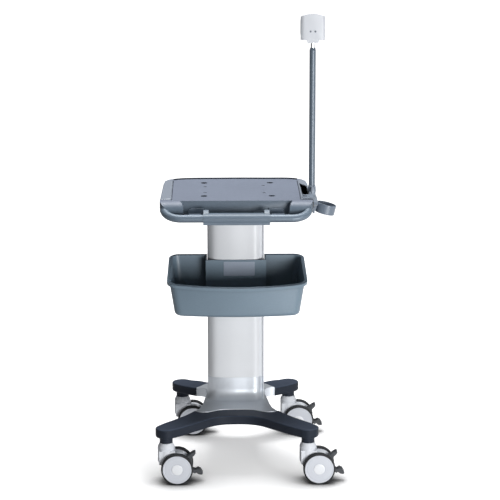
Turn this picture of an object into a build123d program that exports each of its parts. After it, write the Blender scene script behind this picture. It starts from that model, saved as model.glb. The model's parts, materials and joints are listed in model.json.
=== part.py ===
from build123d import *
import os
from math import sin, cos, radians, sqrt

os.makedirs("parts", exist_ok=True)

# ---------------------------------------------------------------------------
# Mobile trolley for a portable ultrasound scanner.  Millimetres, +Z up, the
# user stands at -Y and faces +Y, +X is the user's right.  All the lengths
# below are measured from the centre line of the casters (x), from a cross
# line a little in front of the column (y) and from the floor (height).
# XO, YO move that working origin so that the part's own origin lies on the
# floor under the middle of the whole trolley.
# ---------------------------------------------------------------------------
XO, YO = -40.4, -12.5

# casters: 100 mm twin wheels, trailing to +X at rest
WHEEL_R = 50.0
TRAIL = 34.0
WHEEL_IN, WHEEL_OUT = 25.0, 46.0          # inner and outer face of a wheel
TYRE_SEAT_R = 43.0
CAP_R = 45.0
HUBCAP_R = 17.5
AXLE_R = 6.0
RUN = 0.05                                 # running clearance, radial
PIN_R = 3.0
HOUSING_R = 26.3
HOUSING_TOP = 126.7
BOSS_R = 20.3
BOSS_BOT = 127.3
STEM_R = 8.0
CASTERS = {
    "front_left": (-221.5, -240.0),
    "front_right": (221.5, -240.0),
    "rear_left": (-177.0, 265.0),
    "rear_right": (177.0, 265.0),
}
PIVOT = (37.0, 8.0)                        # pedal pin from the wheel centre

# base
LEG_BOT, LEG_TOP = 145.0, 175.0
CAST_BOT, CAST_TOP = 147.0, 177.0
SKIN = 6.0
SKIRT = 32.0                               # concave sweep up to the column
NECK_TOP = 248.0
TONGUE_BOT, TONGUE_TOP = 151.0, 165.0
TONGUE_W = 60.0

# column
COL_W, COL_F, COL_B = 91.3, 60.0, 160.0
COL_TOP = 858.0
COL_WALL = 3.2
SCREW_X, SCREW_Y = 72.0, (92.0, 128.0)
SCREW_R = 4.0

# basket
RIM_SLOPE = 10.8
RIM_Y, RIM_H = 57.0, 640.7                 # a point of the rim's plane
BASKET_BOT = 500.0
BASKET_T = 3.2
BASKET_FLOOR = 7.5
BASKET_X = 2.5                             # the bin sits a little right of the column
NOTCH_X, NOTCH_Y = 92.3, 59.6

# tray
TRAY_BOT, TRAY_TOP = 830.0, 870.0
TRAY_T = 4.0
TRAY_FRONT, TRAY_BACK = -116.0, 252.0
HORN_X, HORN_Y = 176.0, -150.0
RAIL_IN, RAIL_TOP = 201.5, 873.0
SLOT = [(208.0, -44.0), (229.4, -55.0), (227.8, 104.0), (206.2, 150.0)]
SLOT_IN = [(210.4, -40.4), (226.9, -49.6), (225.4, 103.0), (208.5, 143.6)]
FOOT_PITCH, FOOT_R = 213.0, 10.5
FOOT_C = (5.5, 65.5)
TSCREW = [(-97.0, 14.0), (88.6, 11.0), (88.6, 126.0), (-97.0, 110.0)]

# handle
BAR_R, BAR_Y, BAR_H = 12.2, -180.0, 827.0
BAR_X, BAR_BEND = 223.6, 52.0
GRIP_X = 103.0

# pole and holder
POLE_X, POLE_Y, POLE_R = 239.5, 0.0, 9.75
POLE_BOT, POLE_TOP = 876.0, 1331.0
ROD_R = 6.0
RING_R, RING_T, RING_H, RING_TILT = 31.0, 2.5, 31.0, 14.0
RING_C = (282.3, -25.0, 826.5)


BAR_RUN = 76.0                             # how far back the arms reach into the tray
HB = [(XO - BAR_X, YO + BAR_Y + BAR_RUN, BAR_H + BAR_RUN * 27 / 80), (XO - BAR_X, YO + BAR_Y, BAR_H),
      (XO + BAR_X, YO + BAR_Y, BAR_H), (XO + BAR_X, YO + BAR_Y + BAR_RUN, BAR_H + BAR_RUN * 27 / 80)]


def ground(h, x=0.0, y=0.0):
    """horizontal plane at height h"""
    return Plane(origin=(XO + x, YO + y, h), x_dir=(1, 0, 0), z_dir=(0, 0, 1))


def facing_front(y, x=0.0, z=0.0):
    """upright plane that faces the user: local x is X, local y is the height"""
    return Plane(origin=(XO + x, YO + y, z), x_dir=(1, 0, 0), z_dir=(0, -1, 0))


def facing_right(x, y=0.0, z=0.0):
    """upright plane that faces +X: local x is Y, local y is the height"""
    return Plane(origin=(XO + x, YO + y, z), x_dir=(0, 1, 0), z_dir=(1, 0, 0))


def both(points):
    """a half outline, given from the centre line outwards, made whole"""
    left = [(-x, y) for x, y in reversed(points) if x > 0]
    return left + list(points)


def save(builder, name):
    builder.part.label = name
    export_step(builder.part, "parts/" + name + ".step")


# ---------------------------------------------------------------------------
# outlines shared by several pieces
# ---------------------------------------------------------------------------
CAST_FRONT = [(0, -54.7), (40, -56.8), (62, -64), (81, -77.5), (100.5, -84.5), (119, -81), (129.5, -70)]
CAST_SIDE = [(129.5, -70), (117, -43), (106, 22), (100.5, 72), (96, 112), (94.8, 150)]
CAST_FLARE = [(94.8, 150), (104.0, 179.0), (129.5, 189.0)]
CAST_REAR = [(126.0, 195.0), (114, 210), (101, 229), (89, 236), (76, 231), (52, 213), (0, 201)]


def cast_outline():
    mirror_x = [(-x, y) for x, y in CAST_SIDE]
    mirror_f = [(-x, y) for x, y in CAST_FLARE]
    mirror_r = [(-x, y) for x, y in CAST_REAR]
    Spline(*both(CAST_FRONT))
    Spline(*CAST_SIDE)
    ThreePointArc(*CAST_FLARE)
    Line(CAST_FLARE[-1], CAST_REAR[0])
    Spline(*(CAST_REAR + list(reversed(mirror_r[:-1]))))
    Line(mirror_f[-1], mirror_r[0])
    ThreePointArc(*mirror_f)
    Spline(*mirror_x)


def column_outline(d=0.0, s=0.0):
    """the column's section with its rounded front, moved out by d in front and s at the sides"""
    front = [(0, COL_F - d), (50 + 0.5 * s, COL_F + 2 - d), (COL_W - 19.3 + 0.8 * s, COL_F + 8.3 - 0.97 * d),
             (COL_W - 7.3 + s, COL_F + 19.5 - 0.88 * d), (COL_W + s, COL_F + 35 - 0.72 * d)]
    back = [front[-1], (COL_W + s, COL_B - 12), (COL_W - 10 + s, COL_B)]
    Spline(*both(front), tangents=((0, -1), (0, 1)))
    Polyline(*back)
    Line(back[-1], (-back[-1][0], back[-1][1]))
    Polyline(*[(-x, y) for x, y in reversed(back)])


# ---------------------------------------------------------------------------
# base
# ---------------------------------------------------------------------------
with BuildPart() as base_casting:
    with BuildSketch(ground(CAST_BOT)):
        with BuildLine():
            cast_outline()
        make_face()
    extrude(amount=CAST_TOP - CAST_BOT)
    fillet(base_casting.faces().sort_by(Axis.Z)[-1].edges(), 1.2)
    # concave sweep from the flat top up to the column
    for step in range(8):
        t = radians(90.0 - 90.0 * step / 7)
        with BuildSketch(ground(CAST_TOP - (0.5 if step == 0 else 0) + SKIRT * (1 - sin(t)))):
            with BuildLine():
                column_outline(SKIRT * (1 - cos(t)), 1.0 * (1 - cos(t)))
            make_face()
    loft()
    with BuildSketch(ground(CAST_TOP + SKIRT)):
        with BuildLine():
            column_outline()
        make_face()
    extrude(amount=NECK_TOP - CAST_TOP - SKIRT)
    # hollow underside with ribs
    with BuildSketch(ground(CAST_BOT)):
        with BuildLine():
            Polyline((-92, -62), (-60, -46), (60, -46), (92, -62), (112, -66), (104, -20), (97, 30),
                     (92, 80), (87, 120), (86, 158), (96, 184), (112, 197), (92, 222), (70, 212),
                     (0, 192), (-70, 212), (-92, 222), (-112, 197), (-96, 184), (-86, 158), (-87, 120),
                     (-92, 80), (-97, 30), (-104, -20), (-112, -66), close=True)
        make_face()
        with Locations((0, 30), (0, 118)):
            Rectangle(220, 5, mode=Mode.SUBTRACT)
        with Locations((-66, 70), (66, 70)):
            Rectangle(5, 84, mode=Mode.SUBTRACT)
    extrude(amount=CAST_TOP - CAST_BOT - SKIN, mode=Mode.SUBTRACT)
    with BuildSketch(ground(CAST_TOP - SKIN - 1)):
        with BuildLine():
            Polyline((-44, 68), (44, 68), (80, 92), (84, 98), (84, 146), (78, 152), (-78, 152),
                     (-84, 146), (-84, 98), (-80, 92), close=True)
        make_face()
    extrude(amount=NECK_TOP - 12 - CAST_TOP + SKIN + 1, mode=Mode.SUBTRACT)
    # bosses that the legs' tongues are bolted up against
    with BuildSketch(ground(TONGUE_TOP)):
        with Locations((-42, -28), (42, -28), (-42, 6), (42, 6), (-42, 164), (42, 164), (-42, 187), (42, 187)):
            Circle(11)
    extrude(amount=CAST_TOP - SKIN - TONGUE_TOP + 1)
    # mouths for the tongues
    with BuildSketch(ground(CAST_BOT)):
        with Locations((0, -62), (0, 205)):
            Rectangle(2 * TONGUE_W + 0.8, 60)
    extrude(amount=TONGUE_TOP + 0.4 - CAST_BOT, mode=Mode.SUBTRACT)
    # threaded holes for the leg bolts, clearance holes for the column screws
    with BuildSketch(ground(TONGUE_TOP)):
        with Locations((-42, -28), (42, -28), (-42, 6), (42, 6), (-42, 164), (42, 164), (-42, 187), (42, 187)):
            Circle(4.0)
    extrude(amount=9.0, mode=Mode.SUBTRACT)
    with BuildSketch(ground(NECK_TOP)):
        with Locations(*[(sx * SCREW_X, y) for sx in (-1, 1) for y in SCREW_Y]):
            Circle(SCREW_R + 0.3)
    extrude(amount=-20, mode=Mode.SUBTRACT)
    with BuildSketch(ground(NECK_TOP - 12)):
        with Locations(*[(sx * SCREW_X, y) for sx in (-1, 1) for y in SCREW_Y]):
            Circle(8.5)
    extrude(amount=-14, mode=Mode.SUBTRACT)
save(base_casting, "base_casting")


FL_FRONT = [(0, -124.4), (34, -126.5), (69, -140), (100, -168), (132, -201), (162, -232), (196.3, -261.3)]
FL_ARC = [(196.3, -261.3), (242.8, -265.2), (246.7, -218.7)]
FL_REAR = [(246.7, -218.7), (226, -190), (206, -166), (187, -143), (163, -111), (146, -84), (136, -66)]
# edge beside the casting: the casting's own outline with a shadow gap
FL_SEAM = [(0, -55.2), (40, -57.4), (62, -64.8), (81, -78.4), (100.5, -85.3), (120, -81.8), (130.4, -70.4)]

with BuildPart() as front_leg:
    with BuildSketch(ground(LEG_BOT)):
        with BuildLine():
            Spline(*both(FL_FRONT))
            ThreePointArc(*FL_ARC)
            Spline(*FL_REAR)
            Line(FL_REAR[-1], FL_SEAM[-1])
            Spline(*both(FL_SEAM))
            Line((-FL_REAR[-1][0], FL_REAR[-1][1]), (-FL_SEAM[-1][0], FL_SEAM[-1][1]))
            Spline(*[(-x, y) for x, y in reversed(FL_REAR)])
            ThreePointArc(*[(-x, y) for x, y in reversed(FL_ARC)])
        make_face()
    extrude(amount=LEG_TOP - LEG_BOT)
    for face, r in ((-1, 4.0), (0, 7.0)):
        ring = front_leg.faces().sort_by(Axis.Z)[face].edges().filter_by(lambda e: e.length > 8)
        seam = ring.filter_by(lambda e: abs(e.center().X - XO) < 1 and e.center().Y > YO - 95)
        fillet([e for e in ring if e not in seam], r)
    # boss over each caster, standing a little proud of the arm's nose
    for sx in (-1, 1):
        with BuildSketch(ground(BOSS_BOT)):
            with Locations((sx * 221.5, -240)):
                Circle(BOSS_R)
        extrude(amount=30)
        with BuildSketch(ground(LEG_BOT + 3)):
            with Locations((sx * 221.5, -254.2)):
                Circle(BOSS_R)
        extrude(amount=22)
    # tongue under the casting
    with BuildSketch(ground(TONGUE_BOT)):
        with Locations((0, -32)):
            Rectangle(2 * TONGUE_W, 100)
        with Locations((-42, -28), (42, -28), (-42, 6), (42, 6)):
            Circle(4.3, mode=Mode.SUBTRACT)
    extrude(amount=TONGUE_TOP - TONGUE_BOT)
    # lightening pockets from beneath
    for sx in (-1, 1):
        with BuildSketch(ground(LEG_BOT)):
            with Locations(Location((sx * 158, -168), -sx * 50)):
                SlotOverall(120, 44)
        extrude(amount=LEG_TOP - LEG_BOT - 7, mode=Mode.SUBTRACT)
        with BuildSketch(ground(BOSS_BOT)):
            with Locations((sx * 221.5, -240)):
                Circle(STEM_R + 0.02)
        extrude(amount=38, mode=Mode.SUBTRACT)
save(front_leg, "front_leg")

RL_FRONT = [(131.4, 190.4), (165, 211), (199.4, 239.5)]
RL_ARC = [(199.4, 239.5), (202.5, 287.4), (154.6, 290.5)]
RL_REAR = [(154.6, 290.5), (125, 278.5), (93, 258), (50, 240), (0, 233)]
RL_SEAM = [(131.4, 190.4), (127.4, 195.8), (115.0, 210.8), (102, 229.8), (89.3, 236.9), (75.6, 231.8), (51.7, 213.7), (0, 201.7)]

with BuildPart() as rear_leg:
    with BuildSketch(ground(LEG_BOT)):
        with BuildLine():
            Spline(*RL_FRONT, tangents=((26.5, 16), (25.5, 22.4)))
            ThreePointArc(*RL_ARC)
            Spline(*(RL_REAR + [(-x, y) for x, y in reversed(RL_REAR[:-1])]), tangents=((-25.5, -22.4), (-25.5, 22.4)))
            ThreePointArc(*[(-x, y) for x, y in reversed(RL_ARC)])
            Spline(*[(-x, y) for x, y in reversed(RL_FRONT)], tangents=((25.5, -22.4), (26.5, -16)))
            Spline(*([(-x, y) for x, y in RL_SEAM] + list(reversed(RL_SEAM[:-1]))))
        make_face()
    extrude(amount=LEG_TOP - LEG_BOT)
    for face, r in ((-1, 4.0), (0, 6.0)):
        ring = rear_leg.faces().sort_by(Axis.Z)[face].edges()
        seam = ring.filter_by(lambda e: abs(e.center().X - XO) < 1 and e.center().Y < YO + 215)
        fillet([e for e in ring if e not in seam], r)
    for sx in (-1, 1):
        with BuildSketch(ground(BOSS_BOT)):
            with Locations((sx * 177, 265)):
                Circle(BOSS_R)
        extrude(amount=30)
    with BuildSketch(ground(TONGUE_BOT)):
        with Locations((0, 172)):
            Rectangle(2 * TONGUE_W, 90)
        with Locations((-42, 164), (42, 164), (-42, 187), (42, 187)):
            Circle(4.3, mode=Mode.SUBTRACT)
    extrude(amount=TONGUE_TOP - TONGUE_BOT)
    for sx in (-1, 1):
        with BuildSketch(ground(BOSS_BOT)):
            with Locations((sx * 177, 265)):
                Circle(STEM_R + 0.02)
        extrude(amount=38, mode=Mode.SUBTRACT)
save(rear_leg, "rear_leg")

with BuildPart() as leg_bolts:
    with BuildSketch(ground(TONGUE_BOT)):
        with Locations((-42, -28), (42, -28), (-42, 6), (42, 6), (-42, 164), (42, 164), (-42, 187), (42, 187)):
            Circle(7)
    extrude(amount=-4.4)
    with BuildSketch(ground(TONGUE_BOT)):
        with Locations((-42, -28), (42, -28), (-42, 6), (42, 6), (-42, 164), (42, 164), (-42, 187), (42, 187)):
            Circle(3.9)
    extrude(amount=22)
    with BuildSketch(ground(TONGUE_BOT - 4.4)):
        with Locations((-42, -28), (42, -28), (-42, 6), (42, 6), (-42, 164), (42, 164), (-42, 187), (42, 187)):
            RegularPolygon(3.4, 6)
    extrude(amount=3, mode=Mode.SUBTRACT)
save(leg_bolts, "leg_bolts")

with BuildPart() as caster_stems:
    for cx, cy in CASTERS.values():
        with BuildSketch(ground(92, cx, cy)):
            Circle(STEM_R)
        extrude(amount=165 - 92)
        with BuildSketch(ground(84, cx, cy)):
            Circle(11)
        extrude(amount=8)
save(caster_stems, "caster_stems")


# ---------------------------------------------------------------------------
# casters
# ---------------------------------------------------------------------------
PEDAL = [(25, 20), (30, 33), (37, 37), (46, 44.5), (55, 48.5), (58, 44), (54, 36.5), (48, 31.5), (44.5, 26), (45.5, 14),
         (46, 0), (46, -7), (52, -9.5), (58, -11), (62, -7), (67, -6.5), (74, -11), (80, -21), (79, -26), (72, -26),
         (66, -24.5), (60, -19.5), (55, -22.5), (48, -19), (42, -16), (36, -10), (31, -4), (26, 6)]


def wheel(cx, cy, sign, tyre):
    """one half of a twin wheel: sign -1 is the side towards the user"""
    at = facing_front(cy, cx + TRAIL, WHEEL_R)
    inn, out = WHEEL_IN, WHEEL_OUT
    # a section in the plane through the wheel's axle: local x outwards along the axle, local y the radius
    sec = Plane(origin=(XO + cx + TRAIL, YO + cy, WHEEL_R), x_dir=(0, sign, 0), z_dir=(sign, 0, 0))
    with BuildPart() as piece:
        with BuildSketch(sec):
            with BuildLine():
                if tyre:
                    Polyline((inn + 0.6, TYRE_SEAT_R), (out - 2.6, TYRE_SEAT_R), (out - 2.6, CAP_R), (out - 0.5, CAP_R),
                             (out - 0.3, CAP_R + 1.6), (out - 1.2, WHEEL_R - 1.6), (out - 3.2, WHEEL_R - 0.3),
                             (out - 5.0, WHEEL_R), (inn + 5.0, WHEEL_R), (inn + 2.6, WHEEL_R - 0.4),
                             (inn + 0.9, WHEEL_R - 1.9), (inn + 0.2, CAP_R), close=True)
                else:
                    Polyline((inn + 0.1, AXLE_R + RUN), (inn + 0.1, 14), (inn + 3.5, 17), (inn + 3.5, 37), (inn + 0.6, 39.5),
                             (inn + 0.6, TYRE_SEAT_R - 0.02), (out - 2.58, TYRE_SEAT_R - 0.02), (out - 2.58, CAP_R - 0.05),
                             (out - 0.9, CAP_R - 0.05), (out - 0.2, CAP_R - 1.2), (out - 0.2, 40.5), (out - 1.0, 39.6),
                             (out - 1.0, 38.6), (out - 0.4, 37.6),
                             (out - 0.1, HUBCAP_R + 2.0), (out - 0.8, HUBCAP_R + 1.2), (out - 0.8, HUBCAP_R + 0.3),
                             (out + 0.3, HUBCAP_R - 0.6), (out + 0.9, HUBCAP_R - 3.5), (out + 1.2, 6.0), (out + 1.25, 0),
                             (out - 5.0, 0), (out - 5.0, AXLE_R + RUN), close=True)
            make_face()
        revolve(axis=Axis((XO + cx + TRAIL, YO + cy, WHEEL_R), (0, 1, 0)))
    return piece


def housing(cx, cy):
    wx = cx + TRAIL
    with BuildPart() as piece:
        # swivel head
        with BuildSketch(Plane(origin=(XO + cx, YO + cy, 0), x_dir=(1, 0, 0), z_dir=(0, -1, 0))):
            with BuildLine():
                Polyline((0, 56), (21, 56), (HOUSING_R, 68), (HOUSING_R, 104.8), (HOUSING_R - 1.0, 105.3),
                         (HOUSING_R - 1.0, 106.4), (HOUSING_R, 106.9), (HOUSING_R, 110.2), (HOUSING_R - 1.0, 110.7),
                         (HOUSING_R - 1.0, 111.8), (HOUSING_R, 112.3), (HOUSING_R, 115.3), (HOUSING_R - 0.7, 116.7),
                         (HOUSING_R - 5.0, 125.8), (HOUSING_R - 6.0, HOUSING_TOP), (0, HOUSING_TOP), close=True)
            make_face()
        revolve(axis=Axis((XO + cx, YO + cy, 0), (0, 0, 1)))
        # fender and frame between the wheels
        with BuildSketch(facing_front(cy)):
            with Locations((wx, WHEEL_R)):
                Circle(CAP_R)
            with BuildLine():
                Polyline((cx - 22, 60), (cx - 22, 104), (wx - 6, 104), (wx - 6, 60), close=True)
            make_face()
            with Locations((wx + 6, WHEEL_R - 58)):
                Rectangle(150, 60, mode=Mode.SUBTRACT)
        extrude(amount=24.4, both=True)
        # the wheels' own space
        for sign in (-1, 1):
            with BuildSketch(facing_front(cy + sign * 36.2)):
                with Locations((wx, WHEEL_R)):
                    Circle(WHEEL_R + 2.0)
            extrude(amount=11.8, both=True, mode=Mode.SUBTRACT)
        # the pedal's space, open to the trailing side
        with BuildSketch(facing_front(cy)):
            with BuildLine():
                Polyline((wx + 14, WHEEL_R + 30), (wx + 24, WHEEL_R + 56), (wx + 70, WHEEL_R + 56),
                         (wx + 70, WHEEL_R - 50), (wx + 14, WHEEL_R - 50), close=True)
            make_face()
        extrude(amount=17.8, both=True, mode=Mode.SUBTRACT)
        # swivel bore, opened out below for the stem's head
        with BuildSketch(ground(HOUSING_TOP + 1, cx, cy)):
            Circle(STEM_R + RUN)
        extrude(amount=-60, mode=Mode.SUBTRACT)
        with BuildSketch(ground(92.3, cx, cy)):
            Circle(11.6)
        extrude(amount=-60, mode=Mode.SUBTRACT)
        # bores for the axle and the pedal pin
        with BuildSketch(facing_front(cy)):
            with Locations((wx, WHEEL_R)):
                Circle(AXLE_R + 0.02)
            with Locations((wx + PIVOT[0], WHEEL_R + PIVOT[1])):
                Circle(PIN_R + 0.02)
        extrude(amount=30, both=True, mode=Mode.SUBTRACT)
    return piece


def axle(cx, cy):
    wx = cx + TRAIL
    with BuildPart() as piece:
        with BuildSketch(facing_front(cy)):
            with Locations((wx, WHEEL_R)):
                Circle(AXLE_R)
        extrude(amount=WHEEL_OUT - 5.4, both=True)
        with BuildSketch(facing_front(cy)):
            with Locations((wx + PIVOT[0], WHEEL_R + PIVOT[1])):
                Circle(PIN_R)
        extrude(amount=24.0, both=True)
    return piece


def pedal(cx, cy):
    wx = cx + TRAIL
    with BuildPart() as piece:
        with BuildSketch(facing_front(cy)):
            with BuildLine():
                Polyline(*[(wx + x, WHEEL_R + z) for x, z in PEDAL], close=True)
            make_face()
            fillet(vertices(), 1.4)
        extrude(amount=12.5, both=True)
        with BuildSketch(facing_front(cy)):
            with Locations((wx + PIVOT[0], WHEEL_R + PIVOT[1])):
                Circle(PIN_R + 3.2)
        extrude(amount=17.0, both=True)
        with BuildSketch(facing_front(cy)):
            with Locations((wx + PIVOT[0], WHEEL_R + PIVOT[1])):
                Circle(PIN_R + RUN)
        extrude(amount=20.0, both=True, mode=Mode.SUBTRACT)
        # grip grooves across the foot lobe
        with BuildSketch(facing_front(cy)):
            with Locations((wx + 64.5, WHEEL_R - 6.7), (wx + 69.4, WHEEL_R - 7.9), (wx + 75.4, WHEEL_R - 13.2)):
                Circle(0.9)
        extrude(amount=18.0, both=True, mode=Mode.SUBTRACT)
    return piece


for where, (cx, cy) in CASTERS.items():
    save(housing(cx, cy), where + "_housing")
    save(axle(cx, cy), where + "_axle")
    save(pedal(cx, cy), where + "_pedal")
    for side_name, sign in (("near", -1), ("far", 1)):
        save(wheel(cx, cy, sign, False), where + "_" + side_name + "_hub")
        save(wheel(cx, cy, sign, True), where + "_" + side_name + "_tyre")

# ---------------------------------------------------------------------------
# column
# ---------------------------------------------------------------------------
with BuildPart() as column:
    with BuildSketch(ground(NECK_TOP)):
        with BuildLine():
            column_outline()
        make_face()
        fillet([v for v in vertices() if v.Y > YO + COL_B - 14], 3.0)
        with BuildLine():
            Polyline((-47, 64.2), (47, 64.2), (47, 156.5), (-47, 156.5), close=True)
        make_face(mode=Mode.SUBTRACT)
        for sx in (-1, 1):
            with BuildLine():
                Polyline(*[(sx * x, y) for x, y in ((50.5, 65.8), (79, 83), (87.5, 97), (87.5, 146), (79.5, 156.5),
                                                    (50.5, 156.5))], close=True)
            make_face(mode=Mode.SUBTRACT)
        with Locations(*[(sx * SCREW_X, y) for sx in (-1, 1) for y in SCREW_Y]):
            Circle(7.0)
        for sx in (-1, 1):
            for y in SCREW_Y:
                with Locations((sx * (SCREW_X + 10), y)):
                    Rectangle(14, 3)
        with Locations(*[(sx * SCREW_X, y) for sx in (-1, 1) for y in SCREW_Y]):
            Circle(SCREW_R, mode=Mode.SUBTRACT)
    extrude(amount=COL_TOP - NECK_TOP)
    # holes for the basket's screws
    with BuildSketch(facing_front(COL_F - 1)):
        with Locations((-35, 516), (35, 516), (-35, 540), (35, 540)):
            Circle(3.0)
    extrude(amount=-8, mode=Mode.SUBTRACT)
save(column, "column")

with BuildPart() as column_bottom_screws:
    for sx in (-1, 1):
        for y in SCREW_Y:
            with BuildSketch(ground(NECK_TOP - 12, sx * SCREW_X, y)):
                Circle(6.5)
            extrude(amount=-6)
            with BuildSketch(ground(NECK_TOP - 12, sx * SCREW_X, y)):
                Circle(SCREW_R - 0.1)
            extrude(amount=52)
save(column_bottom_screws, "column_bottom_screws")

with BuildPart() as support_plate:
    with BuildSketch(ground(COL_TOP)):
        with Locations((0, 78)):
            RectangleRounded(260, 200, 14)
        with Locations(*TSCREW):
            Circle(2.5, mode=Mode.SUBTRACT)
        with Locations((FOOT_C[0], FOOT_C[1])):
            with GridLocations(FOOT_PITCH, FOOT_PITCH, 2, 2):
                Circle(16, mode=Mode.SUBTRACT)
    extrude(amount=8)
    with Locations(*[Location((XO + sx * SCREW_X, YO + y, COL_TOP + 8)) for sx in (-1, 1) for y in SCREW_Y]):
        CounterSinkHole(SCREW_R + 0.2, 8.2, counter_sink_angle=90)
save(support_plate, "support_plate")

with BuildPart() as column_top_screws:
    for sx in (-1, 1):
        for y in SCREW_Y:
            with BuildSketch(Plane(origin=(XO + sx * SCREW_X, YO + y, 0), x_dir=(1, 0, 0), z_dir=(0, -1, 0))):
                with BuildLine():
                    Polyline((0, COL_TOP - 30), (SCREW_R - 0.1, COL_TOP - 30), (SCREW_R - 0.1, COL_TOP + 3.8), (7.8, COL_TOP + 7.6),
                             (0, COL_TOP + 7.6), close=True)
                make_face()
            revolve(axis=Axis((XO + sx * SCREW_X, YO + y, 0), (0, 0, 1)))
save(column_top_screws, "column_top_screws")

# ---------------------------------------------------------------------------
# basket
# ---------------------------------------------------------------------------
slope = radians(RIM_SLOPE)
RIM = Plane(origin=(XO, YO + RIM_Y, RIM_H), x_dir=(1, 0, 0), z_dir=(0, -sin(slope), cos(slope)))


def rim_s(y):
    """distance along the sloping rim for a working y"""
    return (y - RIM_Y) / cos(slope)


def bin_lines(wf, wb, yf, ymid, yb):
    c = BASKET_X
    Line((c - wb, yb), (c + wb, yb))
    Line((c + wb, yb), (c + wf, yf))
    ThreePointArc((c + wf, yf), (c, ymid), (c - wf, yf))
    Line((c - wf, yf), (c - wb, yb))


def bin_round(r_front, r_back):
    corners = vertices()
    fillet(corners.group_by(Axis.Y)[0], r_front)
    fillet(vertices().group_by(Axis.Y)[-1], r_back)


with BuildPart() as basket:
    # outer wall
    with BuildSketch(ground(BASKET_BOT)):
        with BuildLine():
            bin_lines(196, 193, -118, -139, 88)
        make_face()
        bin_round(30, 24)
    with BuildSketch(RIM):
        with BuildLine():
            bin_lines(214.5, 209.5, rim_s(-118), rim_s(-152), rim_s(99))
        make_face()
        bin_round(34, 26)
    loft()
    fillet(basket.faces().sort_by(Axis.Z)[0].edges(), 14)
    # rolled rim
    with BuildSketch(RIM.offset(-9.5)):
        with BuildLine():
            bin_lines(221.5, 216.5, rim_s(-126), rim_s(-161), rim_s(106))
        make_face()
        bin_round(42, 34)
    extrude(amount=9.5)
    # inside
    with BuildSketch(ground(BASKET_BOT + BASKET_FLOOR)):
        with BuildLine():
            bin_lines(196.6 - BASKET_T, 193.6 - BASKET_T, -118.4 + BASKET_T, -139.6 + BASKET_T, 88.4 - BASKET_T)
        make_face()
        bin_round(27, 21)
    with BuildSketch(RIM.offset(0.5)):
        with BuildLine():
            bin_lines(214.5 - BASKET_T, 209.5 - BASKET_T, rim_s(-118) + BASKET_T, rim_s(-152) + BASKET_T, rim_s(99) - BASKET_T)
        make_face()
        bin_round(31, 23)
    loft(mode=Mode.SUBTRACT)
    # box round the column, and the opening for the column itself
    with BuildSketch(ground(BASKET_BOT + 0.2)):
        with BuildLine():
            Polyline((-NOTCH_X - 4.5, 106), (-NOTCH_X - 4.5, NOTCH_Y - 4.2), (NOTCH_X + 4.5, NOTCH_Y - 4.2), (NOTCH_X + 4.5, 106),
                     close=True)
        make_face()
    extrude(amount=160)
    split(bisect_by=RIM, keep=Keep.BOTTOM)
    with BuildSketch(ground(BASKET_BOT - 5)):
        with BuildLine():
            Polyline((-NOTCH_X, 130), (-NOTCH_X, NOTCH_Y), (NOTCH_X, NOTCH_Y), (NOTCH_X, 130), close=True)
        make_face()
    extrude(amount=200, mode=Mode.SUBTRACT)
    # screw holes in the panel
    with BuildSketch(facing_front(NOTCH_Y + 1)):
        with Locations((-35, 516), (35, 516), (-35, 540), (35, 540)):
            Circle(3.2)
    extrude(amount=10, mode=Mode.SUBTRACT)
save(basket, "basket")

with BuildPart() as basket_label:
    with BuildSketch(facing_front(NOTCH_Y - 4.2, 10.5, 612)):
        RectangleRounded(100, 46, 3)
    extrude(amount=0.6)
save(basket_label, "basket_label")

with BuildPart() as basket_screws:
    with BuildSketch(facing_front(NOTCH_Y - 4.2)):
        with Locations((-35, 516), (35, 516), (-35, 540), (35, 540)):
            Circle(5.2)
    extrude(amount=2.8)
    fillet(basket_screws.faces().group_by(Axis.Y)[0].edges(), 1.2)
    with BuildSketch(facing_front(NOTCH_Y - 4.2)):
        with Locations((-35, 516), (35, 516), (-35, 540), (35, 540)):
            Circle(2.4)
    extrude(amount=-13)
    with BuildSketch(facing_front(NOTCH_Y - 7.0)):
        with Locations((-35, 516), (35, 516), (-35, 540), (35, 540)):
            RegularPolygon(1.9, 6)
    extrude(amount=-1.6, mode=Mode.SUBTRACT)
save(basket_screws, "basket_screws")

with BuildPart() as basket_nut_plate:
    with BuildSketch(facing_front(64.4, 0, 528)):
        RectangleRounded(88, 46, 4)
        with Locations((-35, -12), (35, -12), (-35, 12), (35, 12)):
            Circle(2.5, mode=Mode.SUBTRACT)
    extrude(amount=-5)
save(basket_nut_plate, "basket_nut_plate")

# ---------------------------------------------------------------------------
# tray
# ---------------------------------------------------------------------------
RAIL = [(RAIL_IN, -100), (RAIL_IN, 204), (212, 214), (228.5, 196), (232, 150), (235, 0), (237.6, -100)]
# front line of the lip along the back of the deck
LIP = [(-206, 211), (-199, 218), (-182, 228), (-158, 234.5), (-80, 238.8), (28, 240), (120, 237.5), (182, 232.5), (200, 223.5), (210, 213)]


def tray_points(d=0.0):
    """corner points of the tray's plan, moved in by d"""
    half = [(HORN_X - 2, TRAY_FRONT + d), (238 - d, TRAY_FRONT + d), (235 - d, 0), (232 - d, 150), (222 - d, TRAY_BACK - d)]
    return half + [(-x, y) for x, y in reversed(half)]


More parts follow.
